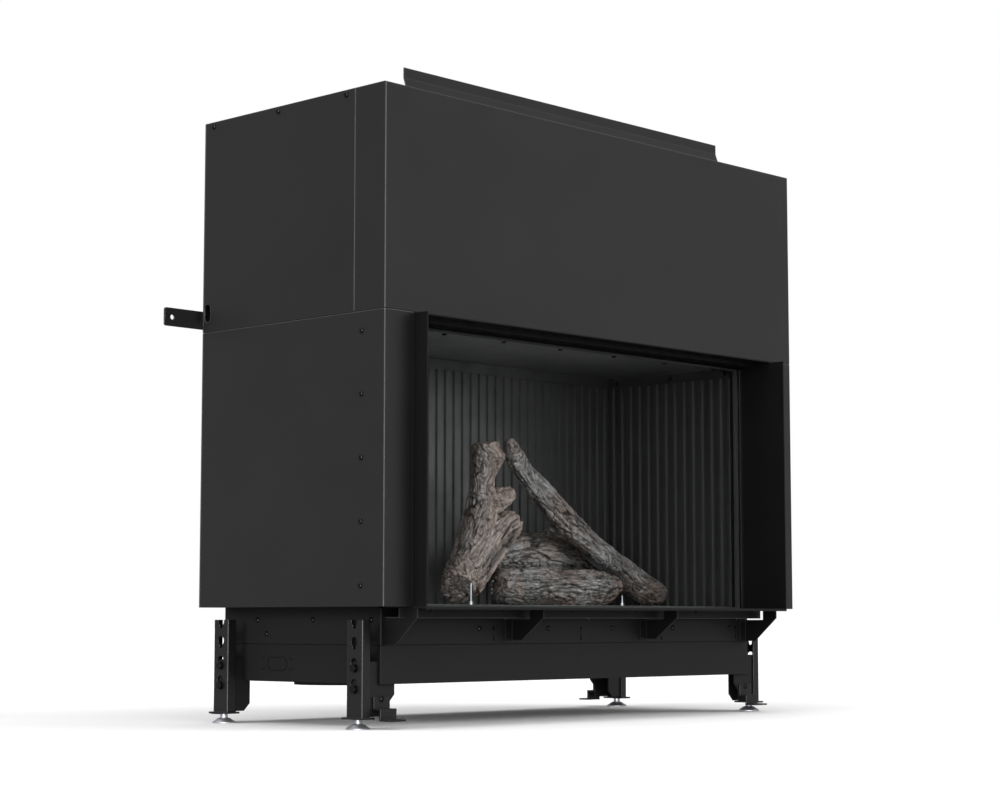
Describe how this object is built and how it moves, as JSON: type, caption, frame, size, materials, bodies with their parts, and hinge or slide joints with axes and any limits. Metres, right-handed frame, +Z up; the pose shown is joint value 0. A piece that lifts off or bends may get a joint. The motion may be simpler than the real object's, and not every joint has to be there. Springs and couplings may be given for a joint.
{
  "type": "built-in gas fireplace",
  "caption": "Built-in gas fireplace: black steel casing with a hood, deep glazed window with ceramic logs, and a base on keyhole legs with levelling feet and fixing brackets.",
  "frame": {"origin": "on the floor under the middle of the overall box", "axes": "+Z up, +X to the right of someone facing the window, +Y to the rear"},
  "size_m": [1.268, 0.5184, 1.112],
  "materials": {
    "black_powder_coat": "fine matte powder coat",
    "black_screw": "satin",
    "firebox_steel": "matte heat-resistant paint",
    "bright_zinc": "zinc plated",
    "galvanised_steel": "satin",
    "ceramic_glass": "clear",
    "fibre_gasket": "woven fibre tape",
    "ceramic_log": "matte, painted as charred wood",
    "brass_fitting": "machined",
    "copper_pipe": "drawn",
    "black_plastic": "matte"
  },
  "bodies": {
    "fireplace": {"upper_front_hood": "black_powder_coat", "top_panel": "black_powder_coat", "rear_panels": "black_powder_coat", "finishing_strip": "black_powder_coat", "casing_floor": "black_powder_coat", "sill": "black_powder_coat", "lintel": "black_powder_coat", "reveal_fins": "black_powder_coat", "wall_ears": "black_powder_coat", "base_frame": "black_powder_coat", "base_tray": "black_powder_coat", "base_collar": "black_powder_coat", "front_rail": "black_powder_coat", "sill_gussets": "black_powder_coat", "legs": "black_powder_coat", "leg_brackets": "black_powder_coat", "floor_clips": "black_powder_coat", "upper_side_panel_left": "black_powder_coat", "upper_side_panel_right": "black_powder_coat", "lower_side_panel_left": "black_powder_coat", "lower_side_panel_right": "black_powder_coat", "pan_head_screws": "black_screw", "leg_bolts": "black_screw", "firebox_front_frame": "firebox_steel", "firebox_walls": "firebox_steel", "firebox_baffle": "firebox_steel", "firebox_roof": "firebox_steel", "firebox_liners": "firebox_steel", "log_rests": "firebox_steel", "burner_pan": "firebox_steel", "burner_plate": "firebox_steel", "ignition_electrode": "bright_zinc", "flame_sensor": "bright_zinc", "flue_pipe": "galvanised_steel", "air_pipe": "galvanised_steel", "air_plenum": "galvanised_steel", "flap_hinge_lugs": "galvanised_steel", "flap_hinge_pins": "galvanised_steel", "log_front": "ceramic_log", "log_rear": "ceramic_log", "log_upright": "ceramic_log", "log_leaning": "ceramic_log", "injector": "brass_fitting", "gas_valve": "brass_fitting", "gas_inlet": "brass_fitting", "gas_pipes": "copper_pipe"},
    "glass": {"glass_pane": "ceramic_glass", "glass_profiles": "galvanised_steel", "glass_gasket": "fibre_gasket"},
    "valve_knob": {"valve_knob": "black_plastic"},
    "relief_flap_left": {"relief_flap_left": "galvanised_steel"},
    "relief_flap_right": {"relief_flap_right": "galvanised_steel"},
    "foot_disc_front_left": {"foot_disc_front_left": "bright_zinc"},
    "foot_stud_front_left": {"foot_stud_front_left": "bright_zinc"},
    "foot_disc_front_right": {"foot_disc_front_right": "bright_zinc"},
    "foot_stud_front_right": {"foot_stud_front_right": "bright_zinc"},
    "foot_disc_rear_left": {"foot_disc_rear_left": "bright_zinc"},
    "foot_stud_rear_left": {"foot_stud_rear_left": "bright_zinc"},
    "foot_disc_rear_right": {"foot_disc_rear_right": "bright_zinc"},
    "foot_stud_rear_right": {"foot_stud_rear_right": "bright_zinc"}
  },
  "joints": [
    {"name": "glass_lift_out", "type": "slide", "parent": "fireplace", "child": "glass", "axis": [0, -1, 0], "range_m": [0, 0.15]},
    {"name": "valve_turn", "type": "hinge", "parent": "fireplace", "child": "valve_knob", "pos_m": [0.2625, -0.02225, 0.103], "axis": [0, -1, 0], "range_deg": [0, 90]},
    {"name": "relief_flap_left_hinge", "type": "hinge", "parent": "fireplace", "child": "relief_flap_left", "pos_m": [-0.25, 0.08775, 0.718], "axis": [-1, 0, 0], "range_deg": [0, 75]},
    {"name": "relief_flap_right_hinge", "type": "hinge", "parent": "fireplace", "child": "relief_flap_right", "pos_m": [0.25, 0.08775, 0.718], "axis": [-1, 0, 0], "range_deg": [0, 75]},
    {"name": "foot_front_left_slide", "type": "slide", "parent": "fireplace", "child": "foot_disc_front_left", "axis": [0, 0, -1], "range_m": [0, 0.02]},
    {"name": "foot_front_left_screw", "type": "hinge", "parent": "foot_disc_front_left", "child": "foot_stud_front_left", "pos_m": [-0.521, -0.13825, 0.02], "axis": [0, 0, -1], "range_deg": [0, 4810]},
    {"name": "foot_front_right_slide", "type": "slide", "parent": "fireplace", "child": "foot_disc_front_right", "axis": [0, 0, -1], "range_m": [0, 0.02]},
    {"name": "foot_front_right_screw", "type": "hinge", "parent": "foot_disc_front_right", "child": "foot_stud_front_right", "pos_m": [0.521, -0.13825, 0.02], "axis": [0, 0, -1], "range_deg": [0, 4810]},
    {"name": "foot_rear_left_slide", "type": "slide", "parent": "fireplace", "child": "foot_disc_rear_left", "axis": [0, 0, -1], "range_m": [0, 0.02]},
    {"name": "foot_rear_left_screw", "type": "hinge", "parent": "foot_disc_rear_left", "child": "foot_stud_rear_left", "pos_m": [-0.521, 0.20225, 0.02], "axis": [0, 0, -1], "range_deg": [0, 4810]},
    {"name": "foot_rear_right_slide", "type": "slide", "parent": "fireplace", "child": "foot_disc_rear_right", "axis": [0, 0, -1], "range_m": [0, 0.02]},
    {"name": "foot_rear_right_screw", "type": "hinge", "parent": "foot_disc_rear_right", "child": "foot_stud_rear_right", "pos_m": [0.521, 0.20225, 0.02], "axis": [0, 0, -1], "range_deg": [0, 4810]}
  ],
  "couplings": [
    {"joint": "foot_front_left_screw", "follows": "foot_front_left_slide", "rad_per_m": 4188.8},
    {"joint": "foot_front_right_screw", "follows": "foot_front_right_slide", "rad_per_m": 4188.8},
    {"joint": "foot_rear_left_screw", "follows": "foot_rear_left_slide", "rad_per_m": 4188.8},
    {"joint": "foot_rear_right_screw", "follows": "foot_rear_right_slide", "rad_per_m": 4188.8}
  ]
}
